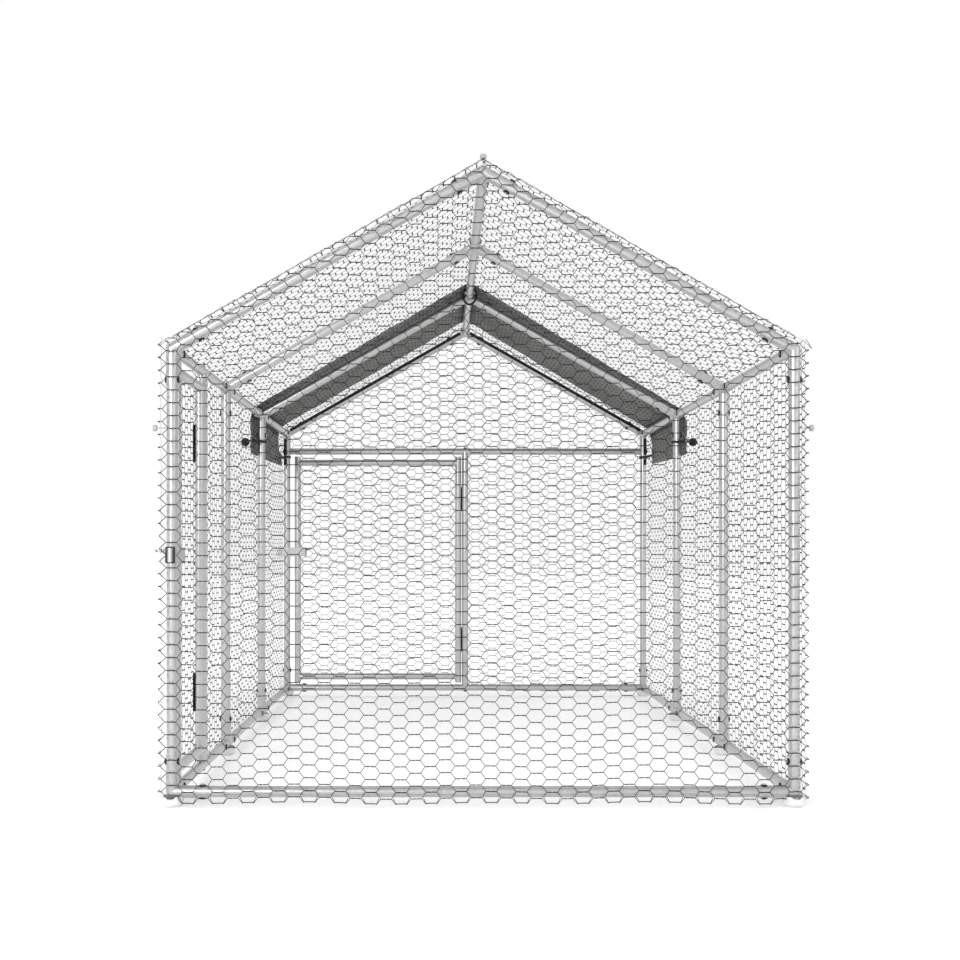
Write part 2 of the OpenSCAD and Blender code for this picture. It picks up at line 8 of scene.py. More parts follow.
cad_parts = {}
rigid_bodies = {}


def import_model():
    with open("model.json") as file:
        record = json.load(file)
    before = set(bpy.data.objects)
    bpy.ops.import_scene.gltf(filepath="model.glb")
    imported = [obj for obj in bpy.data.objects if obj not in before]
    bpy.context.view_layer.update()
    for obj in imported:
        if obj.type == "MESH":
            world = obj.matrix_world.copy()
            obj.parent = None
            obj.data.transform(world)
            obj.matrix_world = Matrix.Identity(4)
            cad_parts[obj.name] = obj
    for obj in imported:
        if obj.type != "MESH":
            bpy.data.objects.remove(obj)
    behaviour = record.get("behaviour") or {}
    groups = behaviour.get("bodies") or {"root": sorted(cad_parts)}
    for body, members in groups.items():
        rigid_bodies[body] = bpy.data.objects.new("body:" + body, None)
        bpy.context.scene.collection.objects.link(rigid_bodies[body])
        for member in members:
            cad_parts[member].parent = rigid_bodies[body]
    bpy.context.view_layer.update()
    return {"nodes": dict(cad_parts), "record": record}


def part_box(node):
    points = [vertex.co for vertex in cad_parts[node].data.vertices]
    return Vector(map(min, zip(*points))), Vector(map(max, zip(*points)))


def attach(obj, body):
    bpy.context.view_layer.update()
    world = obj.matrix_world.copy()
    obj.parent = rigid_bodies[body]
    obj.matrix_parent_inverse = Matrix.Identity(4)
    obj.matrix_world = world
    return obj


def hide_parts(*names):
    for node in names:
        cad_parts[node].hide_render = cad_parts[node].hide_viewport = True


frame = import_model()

MM = 0.001

# Netting, as twisted wire: two columns of cells make one repeat.
COLUMN = 47.37 * MM
ROW = 39.8 * MM
TWIST = 32.5 * MM
WIRE_R = 1.0 * MM
TWIST_HALF_WIDTH = 1.55 * MM

# Finer wire with broader twists: the walls, the roof and the side door
FINE_WIRE_R = 0.66 * MM
FINE_TWIST_HALF_WIDTH = 2.35 * MM

# Camera: level and square to the rear gable. The lens axis, in pixels, lies off the picture's centre.
PHOTO = 960
LENS_AXIS = (440.8, 547.8)
FOCAL_PIXELS = 1262.6
SENSOR = 36.0
CAMERA_AT = (-133.1 * MM, -5436.5 * MM, 809.7 * MM)


# Working helpers

def clear_selection():
    bpy.ops.object.select_all(action="DESELECT")


def pick(obj):
    clear_selection()
    obj.select_set(True)
    bpy.context.view_layer.objects.active = obj


def apply_modifiers(obj):
    pick(obj)
    for modifier in list(obj.modifiers):
        bpy.ops.object.modifier_apply(modifier=modifier.name)


def settle(obj):
    """Puts the object's place, turn and size into its mesh."""
    pick(obj)
    bpy.ops.object.transform_apply(location=True, rotation=True, scale=True)


def join(objects, name):
    clear_selection()
    for obj in objects:
        obj.select_set(True)
    bpy.context.view_layer.objects.active = objects[0]
    bpy.ops.object.join()
    joined = bpy.context.view_layer.objects.active
    joined.name = name
    joined.data.name = name
    return joined


def open_mesh(obj):
    """Opens a mesh for editing, with all of it selected."""
    pick(obj)
    bpy.ops.object.mode_set(mode="EDIT")
    bpy.ops.mesh.select_all(action="SELECT")


def close_mesh():
    bpy.ops.object.mode_set(mode="OBJECT")


def delete_points(obj, unwanted, whole_pieces=False):
    """Deletes the points that a test picks out, or the whole loose pieces that they belong to."""
    open_mesh(obj)
    bpy.ops.mesh.select_all(action="DESELECT")
    close_mesh()
    for vertex in obj.data.vertices:
        vertex.select = unwanted(vertex.co)
    bpy.ops.object.mode_set(mode="EDIT")
    if whole_pieces:
        bpy.ops.mesh.select_linked()
    bpy.ops.mesh.delete(type="VERT")
    close_mesh()


def thicken(obj, thickness, offset):
    wall = obj.modifiers.new("thickness", "SOLIDIFY")
    wall.thickness = thickness
    wall.offset = offset
    apply_modifiers(obj)


def dress(obj, material, body="frame"):
    """Gives a finished piece its material and the body that it rides on."""
    obj.data.materials.clear()
    obj.data.materials.append(material)
    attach(obj, body)


# Materials

def new_material(name):
    material = bpy.data.materials.new(name)
    material.use_nodes = True
    tree = material.node_tree
    return material, tree.nodes, tree.links, tree.nodes["Principled BSDF"]


def reckon(nodes, links, operation, *values):
    """A Math node: a number is set on its socket, and an output is linked to it."""
    node = nodes.new("ShaderNodeMath")
    node.operation = operation
    for socket, value in zip(node.inputs, values):
        if isinstance(value, (int, float)):
            socket.default_value = value
        else:
            links.new(value, socket)
    return node.outputs["Value"]


def object_noise(nodes, links, scale, detail=3.0):
    place = nodes.new("ShaderNodeTexCoord")
    noise = nodes.new("ShaderNodeTexNoise")
    noise.inputs["Scale"].default_value = scale
    noise.inputs["Detail"].default_value = detail
    links.new(place.outputs["Object"], noise.inputs["Vector"])
    return noise


def ramp(nodes, links, source, stops):
    node = nodes.new("ShaderNodeValToRGB")
    elements = node.color_ramp.elements
    while len(elements) < len(stops):
        elements.new(0.5)
    for element, (position, colour) in zip(elements, stops):
        element.position = position
        element.color = (*colour, 1.0)
    links.new(source, node.inputs["Fac"])
    return node


def grey(value):
    return (value, value, value)


def spread(nodes, links, source, low, high):
    node = nodes.new("ShaderNodeMapRange")
    node.inputs["To Min"].default_value = low
    node.inputs["To Max"].default_value = high
    links.new(source, node.inputs["Value"])
    return node.outputs["Result"]


def bump(nodes, links, shader, height, strength, distance):
    node = nodes.new("ShaderNodeBump")
    node.inputs["Strength"].default_value = strength
    node.inputs["Distance"].default_value = distance
    links.new(height, node.inputs["Height"])
    links.new(node.outputs["Normal"], shader.inputs["Normal"])


def galvanised(name, dark, light, roughness):
    """Hot-dip zinc: a crystal spangle over slow clouding."""
    material, nodes, links, shader = new_material(name)
    place = nodes.new("ShaderNodeTexCoord")
    spangle = nodes.new("ShaderNodeTexVoronoi")
    spangle.inputs["Scale"].default_value = 95.0
    links.new(place.outputs["Object"], spangle.inputs["Vector"])
    clouds = object_noise(nodes, links, 14.0, 4.0)
    blend = nodes.new("ShaderNodeMix")
    blend.data_type = "RGBA"
    blend.inputs["Factor"].default_value = 0.62
    links.new(spangle.outputs["Color"], blend.inputs["A"])
    links.new(clouds.outputs["Color"], blend.inputs["B"])
    tone = nodes.new("ShaderNodeRGBToBW")
    links.new(blend.outputs["Result"], tone.inputs["Color"])
    colours = ramp(nodes, links, tone.outputs["Val"], [(0.25, grey(dark)), (0.75, grey(light))])
    links.new(colours.outputs["Color"], shader.inputs["Base Color"])
    links.new(spread(nodes, links, tone.outputs["Val"], roughness - 0.08, roughness + 0.1),
              shader.inputs["Roughness"])
    shader.inputs["Metallic"].default_value = 0.8
    bump(nodes, links, shader, spangle.outputs["Distance"], 0.06, 0.0008)
    return material


def plain_metal(name, dark, light, roughness, metallic, scale=160.0, sheen=0.5):
    material, nodes, links, shader = new_material(name)
    shader.inputs["Specular IOR Level"].default_value = sheen
    noise = object_noise(nodes, links, scale)
    colours = ramp(nodes, links, noise.outputs["Fac"], [(0.35, grey(dark)), (0.7, grey(light))])
    links.new(colours.outputs["Color"], shader.inputs["Base Color"])
    links.new(spread(nodes, links, noise.outputs["Fac"], roughness - 0.1, roughness + 0.1),
              shader.inputs["Roughness"])
    shader.inputs["Metallic"].default_value = metallic
    bump(nodes, links, shader, noise.outputs["Fac"], 0.08, 0.0004)
    return material


def moulded(name, dark, light, roughness, grain=900.0, sheen=0.5):
    material, nodes, links, shader = new_material(name)
    shader.inputs["Specular IOR Level"].default_value = sheen
    noise = object_noise(nodes, links, grain, 2.0)
    wear = object_noise(nodes, links, 30.0, 4.0)
    colours = ramp(nodes, links, wear.outputs["Fac"], [(0.3, grey(dark)), (0.75, grey(light))])
    links.new(colours.outputs["Color"], shader.inputs["Base Color"])
    links.new(spread(nodes, links, wear.outputs["Fac"], roughness - 0.06, roughness + 0.1),
              shader.inputs["Roughness"])
    bump(nodes, links, shader, noise.outputs["Fac"], 0.12, 0.0004)
    return material


def braided_elastic():
    material, nodes, links, shader = new_material("braided elastic")
    place = nodes.new("ShaderNodeTexCoord")
    braid = nodes.new("ShaderNodeTexWave")
    braid.bands_direction = "DIAGONAL"
    braid.inputs["Scale"].default_value = 260.0
    braid.inputs["Distortion"].default_value = 1.5
    links.new(place.outputs["Object"], braid.inputs["Vector"])
    colours = ramp(nodes, links, braid.outputs["Fac"], [(0.2, grey(0.004)), (0.8, grey(0.016))])
    links.new(colours.outputs["Color"], shader.inputs["Base Color"])
    shader.inputs["Roughness"].default_value = 0.75
    bump(nodes, links, shader, braid.outputs["Fac"], 0.5, 0.0006)
    return material


def sine_along(nodes, links, distance, period):
    return reckon(nodes, links, "SINE", reckon(nodes, links, "MULTIPLY", distance, 2 * math.pi / period))


def woven_cover():
    """Coated tape-weave sheeting with faint stripes, read from the sheet's own flat map in metres."""
    tape, stripe = 5.2 * MM, 47 * MM
    tape_share, stripe_share = 0.12, 0.06
    material, nodes, links, shader = new_material("woven cover")
    flat = nodes.new("ShaderNodeUVMap")
    flat.uv_map = "flat"
    split = nodes.new("ShaderNodeSeparateXYZ")
    links.new(flat.outputs["UV"], split.inputs["Vector"])
    threads = [sine_along(nodes, links, split.outputs[axis], tape) for axis in ("X", "Y")]
    weave = reckon(nodes, links, "MULTIPLY", *threads)
    stripes = sine_along(nodes, links, split.outputs["Y"], stripe)
    fade = object_noise(nodes, links, 3.0, 6.0)
    shade = reckon(nodes, links, "MULTIPLY_ADD", weave, tape_share, fade.outputs["Fac"])
    shade = reckon(nodes, links, "MULTIPLY_ADD", stripes, stripe_share, shade)
    colours = ramp(nodes, links, shade, [(0.22, (0.135, 0.131, 0.123)), (0.78, (0.285, 0.278, 0.263))])
    links.new(colours.outputs["Color"], shader.inputs["Base Color"])
    shader.inputs["Roughness"].default_value = 0.62
    bump(nodes, links, shader, weave, 0.35, 0.0004)
    return material


def zinc_with_painted_edge_shade(middle, half_chord):
    """Plated sheet with painted shade: its colour darkens from the middle of a roll to its edges, as shade
    on a curved surface.
    """
    material, nodes, links, shader = new_material("rolled zinc with painted edge shade")
    place = nodes.new("ShaderNodeTexCoord")
    split = nodes.new("ShaderNodeSeparateXYZ")
    links.new(place.outputs["Object"], split.inputs["Vector"])
    across = reckon(nodes, links, "SUBTRACT", split.outputs["X"], middle)
    share = reckon(nodes, links, "DIVIDE", reckon(nodes, links, "ABSOLUTE", across), half_chord)
    # painted shade: the colour ramp darkens the plate from the roll's middle to its edges
    colours = ramp(nodes, links, share, [(0.0, grey(0.60)), (0.33, grey(0.40)), (0.60, grey(0.13)),
                                         (0.85, grey(0.03))])
    links.new(colours.outputs["Color"], shader.inputs["Base Color"])
    shader.inputs["Metallic"].default_value = 0.6
    shader.inputs["Roughness"].default_value = 0.4
    return material


zinc_tube = galvanised("galvanised tube", 0.46, 0.56, 0.30)
zinc_socket = galvanised("galvanised socket", 0.44, 0.54, 0.34)
net_wire = plain_metal("netting wire", 0.010, 0.024, 0.55, 0.0, sheen=0.2)
zinc_plate = galvanised("pressed plate", 0.36, 0.44, 0.36)
plated = plain_metal("plated steel", 0.36, 0.48, 0.32, 0.8)
black_paint = plain_metal("black paint", 0.006, 0.014, 0.5, 0.0, sheen=0.25)
black_plastic = moulded("black plastic", 0.004, 0.010, 0.5, sheen=0.2)
pale_plastic = moulded("pale plastic", 0.78, 0.86, 0.45)
button_plastic = moulded("button plastic", 0.44, 0.54, 0.45)
elastic = braided_elastic()
cover_cloth = woven_cover()
ring_zinc = plain_metal("grommet zinc", 0.45, 0.6, 0.3, 0.85)

SLOT_FINISH = {
    "galvanised_tube": zinc_tube,
    "netting_wire": net_wire,
    "plated_steel": plated,
    "black_hinge_metal": black_paint,
    "black_plastic": black_plastic,
    "elastic_cord": elastic,
    "cover_fabric": cover_cloth,
    "pale_plastic": pale_plastic,
}
NODE_FINISH = {
    "base_connectors": zinc_socket,
    "eave_connectors": zinc_socket,
    "ridge_connectors": zinc_socket,
    "latch_stop_plates": zinc_plate,
}

node_slot = {entry["node"]: entry["material_slot"] for entry in frame["record"]["subparts"]}
for node, obj in frame["nodes"].items():
    obj.data.materials.clear()
    obj.data.materials.append(NODE_FINISH.get(node, SLOT_FINISH[node_slot[node]]))

body_of_node = {node: body
                for body, nodes in frame["record"]["behaviour"]["bodies"].items() for node in nodes}


# The frame's main lines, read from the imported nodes

def node_size(node):
    low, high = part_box(node)
    return Vector(low), Vector(high)


def node_middle(node):
    low, high = node_size(node)
    return (low + high) / 2


post_low, post_high = node_size("post_right_1")
tube_r = (post_high.x - post_low.x) / 2
half_width = node_middle("post_right_1").x
frame_y = [node_middle("post_right_%d" % number).y for number in (1, 2, 3, 4)]
eave_height = node_middle("right_eave_rails").z
ridge_height = node_middle("ridge_poles").z
pitch = math.atan2(ridge_height - eave_height, half_width)
UP = (0, 0, 1)
SIDE_NAME = {-1: "left", 1: "right"}


# Netting

def turned_to(run):
    return run.to_track_quat("Z", "Y").to_matrix().to_4x4()


def strand(start, end, radius=WIRE_R):
    """A plain run of wire with three sides, swollen to look as thick as a round one."""
    swell = 1.15
    start, end = Vector(start), Vector(end)
    clear_selection()
    bpy.ops.mesh.primitive_cylinder_add(vertices=3, radius=radius * swell, depth=(end - start).length)
    obj = bpy.context.object
    obj.matrix_world = Matrix.Translation((start + end) / 2) @ turned_to(end - start)
    settle(obj)
    return obj


def twisted_pair(centre, wire_r, half_width_of_pair):
    """Two wires twisted together, as a flat bar with one full turn."""
    lengths, fullness = 6, 1.3
    clear_selection()
    bpy.ops.mesh.primitive_cylinder_add(vertices=4, radius=1.0, depth=TWIST)
    obj = bpy.context.object
    open_mesh(obj)
    bpy.ops.transform.rotate(value=math.radians(45), orient_axis="Z", center_override=(0, 0, 0))
    bpy.ops.transform.resize(value=(half_width_of_pair * fullness, wire_r * fullness, 1.0))
    for cut in range(1, lengths):
        bpy.ops.mesh.select_all(action="SELECT")
        bpy.ops.mesh.bisect(plane_co=(0, 0, (cut / lengths - 0.5) * TWIST), plane_no=UP)
    close_mesh()
    turn = obj.modifiers.new("turn", "SIMPLE_DEFORM")
    turn.deform_method = "TWIST"
    turn.deform_axis = "Z"
    turn.angle = math.radians(360)
    apply_modifiers(obj)
    obj.matrix_world = Matrix.Translation(centre) @ Matrix.Rotation(math.radians(90), 4, "Y")
    settle(obj)
    return obj


def repeat_unit(wire_r, pair_half):
    """One repeat of the netting: two twisted pairs and the four strands between them."""
    slant = COLUMN - TWIST
    half = TWIST / 2
    pieces = [twisted_pair(centre, wire_r, pair_half) for centre in ((0, 0, 0), (COLUMN, ROW / 2, 0))]
    for across, up in ((0, 0), (COLUMN, ROW / 2)):
        for rise in (ROW / 2, -ROW / 2):
            pieces.append(strand((across + half, up, 0), (across + half + slant, up + rise, 0), wire_r))
    return join(pieces, "netting_repeat")


def hanging_half():
    """The half cell under two twisted pairs of the lowest row: doubled strands and a thick bent bar."""
    drop, apart, nib = 15 * MM, 4 * MM, 3 * MM
    half = TWIST / 2
    bar = strand((COLUMN - half, -drop, 0), (COLUMN + half, -drop, 0), WIRE_R * 1.5)
    pieces = [bar]
    for side in (-1, 1):
        top = COLUMN + side * (COLUMN - half)
        foot = COLUMN + side * half
        tip = (foot, -drop - nib, 0)
        pieces.append(strand((top, 0, 0), tip))
        pieces.append(strand((top - side * 1.5 * apart, apart / 2, 0), tip))
    return join(pieces, "netting_half")


UNIT = repeat_unit(WIRE_R, TWIST_HALF_WIDTH)
FINE_UNIT = repeat_unit(FINE_WIRE_R, FINE_TWIST_HALF_WIDTH)
HALF = hanging_half()


def repeated(source, name, start, counts, steps):
    """A copy of a mesh laid out in a grid."""
    clear_selection()
    copy = source.copy()
    copy.data = source.data.copy()
    copy.name = name
    bpy.context.collection.objects.link(copy)
    for count, step in zip(counts, steps):
        array = copy.modifiers.new("repeat", "ARRAY")
        array.count = count
        array.use_relative_offset = False
        array.use_constant_offset = True
        array.constant_offset_displace = step
    apply_modifiers(copy)
    copy.location = start
    settle(copy)
    return copy


def wire_field(name, low, high, first, unit):
    """Flat netting that covers low to high, with a twisted pair centred on first."""
    wide, tall = 2 * COLUMN, ROW
    start = [first[axis] + (math.floor((low[axis] - first[axis]) / step) - 1) * step
             for axis, step in ((0, wide), (1, tall))]
    counts = [math.ceil((high[axis] - low[axis]) / step) + 3 for axis, step in ((0, wide), (1, tall))]
    return repeated(unit, name, (*start, 0), counts, ((wide, 0, 0), (0, tall, 0)))


def trim(obj, point, outward):
    """Cuts away what lies past a plane."""
    open_mesh(obj)
    bpy.ops.mesh.bisect(plane_co=point, plane_no=outward, clear_outer=True, use_fill=True)
    close_mesh()


def trim_panel(field, width, height):
    """Cuts flat netting to a four-sided panel with a corner at the origin."""
    for point, outward in (((0, 0, 0), (-1, 0, 0)), ((width, 0, 0), (1, 0, 0)),
                           ((0, 0, 0), (0, -1, 0)), ((0, height, 0), (0, 1, 0))):
        trim(field, point, outward)


def reshape(obj, rule):
    """Moves every point of a mesh by a rule on its coordinates."""
    points = np.empty(len(obj.data.vertices) * 3)
    obj.data.vertices.foreach_get("co", points)
    moved = np.stack(rule(*points.reshape(-1, 3).T), axis=1)
    obj.data.vertices.foreach_set("co", moved.ravel())
    obj.data.update()


def wander(size, seed):
    """Netting is never quite even: rows and columns drift in long waves, and the face bellies a little."""
    def wave(turns):
        return np.sin(2 * math.pi * turns)

    def rule(u, v, n):
        drift_u = 0.6 * wave(v / 0.62 + seed) + 0.4 * wave(u / 0.83 + v / 1.3 + 2 * seed)
        drift_v = 0.5 * wave(u / 0.55 + seed) + 0.3 * wave(u / 1.1 - v / 0.9 + 3 * seed)
        belly = 0.35 * wave(u / 0.31 + seed) * wave(v / 0.37 + seed)
        return u + size * drift_u, v + size * drift_v, n + size * belly
    return rule


def drawn_out(start, share):
    """Netting is drawn out wider where it is pulled round a corner post."""
    def rule(u, v, n):
        return u + np.sign(u) * share * np.maximum(np.abs(u) - start, 0), v, n
    return rule


def folded(distance, radius):
    """How far a sheet goes out and back where it turns a corner of that radius."""
    bend = np.clip(distance / radius, 0, math.pi / 2)
    past = np.maximum(distance - radius * math.pi / 2, 0)
    out = np.where(distance > 0, radius * np.sin(bend), distance)
    back = radius * (1 - np.cos(bend)) + past
    return out, back


def round_gable(side_at, slope_at, radius):
    """Folds a gable's netting back over its corner posts and rafters."""
    def rule(u, v, n):
        beside = np.abs(u) - side_at
        above = np.abs(u) * math.sin(pitch) + (v - ridge_height) * math.cos(pitch) - slope_at
        side_out, side_back = folded(beside, radius)
        top_out, top_back = folded(above, radius)
        by_side = (beside > 0) & (beside >= above)
        by_top = (above > 0) & (above > beside)
        sign = np.sign(u)
        shift = above - top_out
        new_u = np.where(by_side, sign * (side_at + side_out), u)
        new_u = np.where(by_top, u - sign * shift * math.sin(pitch), new_u)
        new_v = np.where(by_top, v - shift * math.cos(pitch), v)
        back = np.where(by_side, side_back, np.where(by_top, top_back, 0))
        return new_u, new_v, n - back
    return rule


def clear_round(obj, centre, reach):
    """Takes out whole wires that come into a box round a fitting."""
    def inside(place):
        away = place - centre
        return all(abs(away[axis]) < reach[axis] for axis in range(3))

    delete_points(obj, inside, whole_pieces=True)


def frame_of(origin, along, up):
    """A placing matrix: local X along, local Y up and local Z outward."""
    along, up = Vector(along).normalized(), Vector(up).normalized()
    turn = Matrix((along, up, along.cross(up))).transposed().to_4x4()
    return Matrix.Translation(origin) @ turn


def finish_net(field, node, place):
    field.matrix_world = place
    settle(field)
    dress(field, net_wire, body_of_node[node])
    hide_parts(node)
    return field


def with_halves(field, high_u, first):
    """Adds the hanging half cells under the lowest row."""
    count = math.floor((high_u - first[0]) / (2 * COLUMN))
    row = repeated(HALF, "halves", (first[0], first[1], 0), [count], [(2 * COLUMN, 0, 0)])
    return join([field, row], field.name)


def flat_net(node, along, up, seed, drift=3 * MM, to_ground=False, unit=UNIT):
    """A four-sided panel of netting in the place of its node."""
    low, high = node_size(node)
    along, up = Vector(along), Vector(up)
    outward = along.cross(up).normalized()
    corners = [Vector((x, y, z))
               for x in (low.x, high.x) for y in (low.y, high.y) for z in (low.z, high.z)]
    spans = [[corner.dot(axis) for corner in corners] for axis in (along, up, outward)]
    width, height = (max(span) - min(span) for span in spans[:2])
    origin = along * min(spans[0]) + up * min(spans[1]) + outward * (sum(spans[2]) / len(corners))
    lowest_row = 3 * MM
    first = (COLUMN * (0.5 + seed), lowest_row)
    field = wire_field(node + "_wire", (0, 0), (width, height), first, unit)
    trim_panel(field, width, height)
    if to_ground:
        field = with_halves(field, width, first)
    reshape(field, wander(drift, seed))
    return finish_net(field, node, frame_of(origin, along, up))


def gable_net(node, side, bottom, to_ground):
    """A gable's netting, folded back over the corner posts and the rafters; side is -1 at the rear."""
    low, high = node_size(node)
    fold_r, wrap = 6 * MM, 40 * MM
    side_at, slope_at = half_width + 35 * MM, 28 * MM
    drawn_from, drawn_share = half_width + 12 * MM, 0.4
    drift, seed = 5 * MM, 0.3
    inset = 4 * MM
    edge_behind = -fold_r - 14 * MM

    reach = side_at + wrap
    top = ridge_height + (slope_at + wrap) / math.cos(pitch)
    first = (-half_width + inset, bottom + inset)
    field = wire_field(node + "_wire", (-reach, bottom), (reach, top), first, UNIT)
    for sign in (-1, 1):
        trim(field, (sign * reach, 0, 0), (sign, 0, 0))
        trim(field, (0, top, 0), (sign * math.sin(pitch), math.cos(pitch), 0))
    trim(field, (0, bottom, 0), (0, -1, 0))
    if to_ground:
        field = with_halves(field, side_at, first)
    reshape(field, wander(drift, seed))
    reshape(field, drawn_out(drawn_from, drawn_share))
    reshape(field, round_gable(side_at, slope_at, fold_r))
    crest = ridge_height + (slope_at + fold_r) / math.cos(pitch)
    eave = crest - half_width * math.tan(pitch)
    edges = [strand((0, crest, edge_behind), (sign * half_width, eave, edge_behind)) for sign in (-1, 1)]
    field = join([field] + edges, field.name)
    place = frame_of((0, (low.y + high.y) / 2, 0), (-side, 0, 0), UP)
    return finish_net(field, node, place)


def roof_net(node, side):
    """A roof slope's netting, from the eave up to the ridge; side is -1 on the left."""
    up = Vector((-side * math.cos(pitch), 0, math.sin(pitch)))
    low, high = node_size(node)
    run = high.y - low.y
    length = (high.x - low.x) / math.cos(pitch)
    thickness = (high.z - low.z) - (high.x - low.x) * math.tan(pitch)
    start = Vector((low.x if side < 0 else high.x, high.y if side < 0 else low.y, low.z + thickness / 2))
    field = wire_field(node + "_wire", (0, 0), (run, length), (COLUMN, ROW / 3), FINE_UNIT)
    trim_panel(field, run, length)
    drift, seed = 2.5 * MM, 0.1 * side
    reshape(field, wander(drift, seed))
    return finish_net(field, node, frame_of(start, (0, side, 0), up))


REAR_NET_FOOT = 26 * MM
DOOR_DRIFT = 2 * MM
LATCH_ROOM = (60 * MM, 60 * MM, 55 * MM)
rear_wire = gable_net("rear_net", -1, REAR_NET_FOOT, True)
gable_net("front_gable_net", 1, node_size("front_gable_net")[0].z, False)
flat_net("left_wall_net", (0, -1, 0), UP, 0.2, to_ground=True, unit=FINE_UNIT)
flat_net("right_wall_net", (0, 1, 0), UP, 0.7, to_ground=True, unit=FINE_UNIT)
flat_net("side_door_net", (0, -1, 0), UP, 0.6, DOOR_DRIFT, unit=FINE_UNIT)
flat_net("front_panel_net", (-1, 0, 0), UP, 0.5, to_ground=True)
flat_net("front_door_net", (-1, 0, 0), UP, 0.1, DOOR_DRIFT)
roof_net("left_roof_net", -1)
roof_net("right_roof_net", 1)
clear_round(rear_wire, node_middle("side_latch_bolt"), LATCH_ROOM)
for source in (UNIT, FINE_UNIT, HALF):
    bpy.data.objects.remove(source)


# Cover

cover_low, cover_high = node_size("cover")
COVER_OUT = cover_high.x - half_width + 1.5 * MM
COVER_THICKNESS = 0.8 * MM
CLOTH_STAND_OFF = 2.5 * MM
HEM = 26 * MM
HEM_RISE = 1 * MM
bungee_height = node_middle("bungee_balls").z
bungee_y = (frame_y[2], frame_y[3])

# The cover lies a little askew, and both ends run back from the eaves to the ridge.
ASKEW = 0.047
EAVE_LEAD = 100 * MM
REAR_AT_RIDGE = cover_low.y - 10 * MM
FRONT_AT_RIDGE = frame_y[3] - 165 * MM
FLAP_REAR = {-1: cover_low.y + 28 * MM, 1: cover_low.y + 75 * MM}
RIGHT_FLAP_FRONT = frame_y[3] - 86 * MM
FLAP_LIFT = 18 * MM

# Below the eave each end swings over to its flap's own line within this depth.
REAR_SWING = 30 * MM
FRONT_SWING = 60 * MM

# The left flap's front end is hollowed round a point behind the front post, with a lobe under the hollow.
HOLLOW_AT = (frame_y[3] - 37 * MM, eave_height - 42 * MM)
HOLLOW_R = HOLLOW_AT[1] - bungee_height - 18.5 * MM
LOBE_SWING = 14 * MM

# Each cord is at a post, and its grommet is in the flap beside it, near an end of the cover.
GROMMET_IN = 22 * MM
LEFT_GROMMET_IN = 30 * MM
GROMMET_Y = {
    (-1, bungee_y[0]): FLAP_REAR[-1] + LEFT_GROMMET_IN,
    (1, bungee_y[0]): FLAP_REAR[1] + GROMMET_IN,
    (-1, bungee_y[1]): bungee_y[1],
    (1, bungee_y[1]): RIGHT_FLAP_FRONT - GROMMET_IN,
}
ROOF_GROMMET_ACROSS = 88 * MM
GROMMET_R = 10 * MM
GROMMET_ROLL_R = 3.2 * MM
GROMMET_FLATNESS = 0.55


def cover_line():
    """Points and outward directions along the cover's cross-section, from flap to flap."""
    points, normals = [], []

    def arc(centre, start, end, steps=10):
        for step in range(steps + 1):
            angle = start + (end - start) * step / steps
            normal = (math.cos(angle), math.sin(angle))
            points.append((centre[0] + COVER_OUT * normal[0], centre[1] + COVER_OUT * normal[1]))
            normals.append(normal)

    upright = math.pi / 2
    points.append((-half_width - COVER_OUT, cover_low.z))
    normals.append((-1, 0))
    arc((-half_width, eave_height), math.pi, upright + pitch)
    arc((0, ridge_height), upright + pitch, upright - pitch)
    arc((half_width, eave_height), upright - pitch, 0)
    points.append((half_width + COVER_OUT, cover_low.z))
    normals.append((1, 0))
    return np.array(points), np.array(normals)


def on_roof(at_ridge, x):
    """Where an end of the cover lies on the roof slopes."""
    return at_ridge + ASKEW * x + EAVE_LEAD * np.abs(x) / half_width


def down_flap(z, depth):
    """0 at the eave and 1 from that depth down."""
    return np.clip((eave_height - z) / depth, 0, 1)


def rear_edge(x, z):
    """How far back the cover reaches at a point of its cross-section."""
    roof = on_roof(REAR_AT_RIDGE, x)
    flap = np.where(x < 0, FLAP_REAR[-1], FLAP_REAR[1])
    return roof + (flap - roof) * down_flap(z, REAR_SWING)


def front_edge(x, z):
    """How far forward the cover reaches: the left flap is hollowed, the right one nearly straight."""
    roof = on_roof(FRONT_AT_RIDGE, x)
    right = roof + (RIGHT_FLAP_FRONT - roof) * down_flap(z, FRONT_SWING)
    rise = z - HOLLOW_AT[1]
    hollow = HOLLOW_AT[0] - np.sqrt(np.clip(HOLLOW_R ** 2 - rise ** 2, 0, None))
    lobe = np.clip((-rise - HOLLOW_R) / LOBE_SWING + 0.5, 0, 1)
    flap = hollow + (cover_high.y - hollow) * lobe ** 2
    left = np.where(rise > 0, np.minimum(roof, hollow), flap)
    return np.where(x < 0, left, right)


def folds(x, y, z, run):
    """How far the cloth stands off: slow ripples, creases that run to the cords, and slack between them."""
    crease_reach, crease_start, crease_count = 90 * MM, 20 * MM, 7
    crease_height, slack_height = 3.0 * MM, 9.0 * MM
    flap_root = 50 * MM
    ripple = 1.6 * np.sin(run * 21 + y * 3) * np.sin(y * 17 + run * 2) + 0.8 * np.sin(run * 47 - y * 31)
    crease = np.zeros_like(y)
    for (side, _), ring_y in GROMMET_Y.items():
        away = np.hypot(y - ring_y, z - bungee_height)
        angle = np.arctan2(z - bungee_height, y - ring_y)
        pull = np.exp(-away / crease_reach) * np.clip(away / crease_start, 0, 1)
        crease += crease_height * pull * np.sin(angle * crease_count) * (np.sign(x) == side)
    on_flap = down_flap(z, flap_root)
    between_cords = np.clip((y - bungee_y[0]) / (bungee_y[1] - bungee_y[0]), 0, 1)
    slack = slack_height * on_flap * np.sin(math.pi * between_cords) ** 2
    return CLOTH_STAND_OFF + ripple * MM + on_flap * (crease + slack)


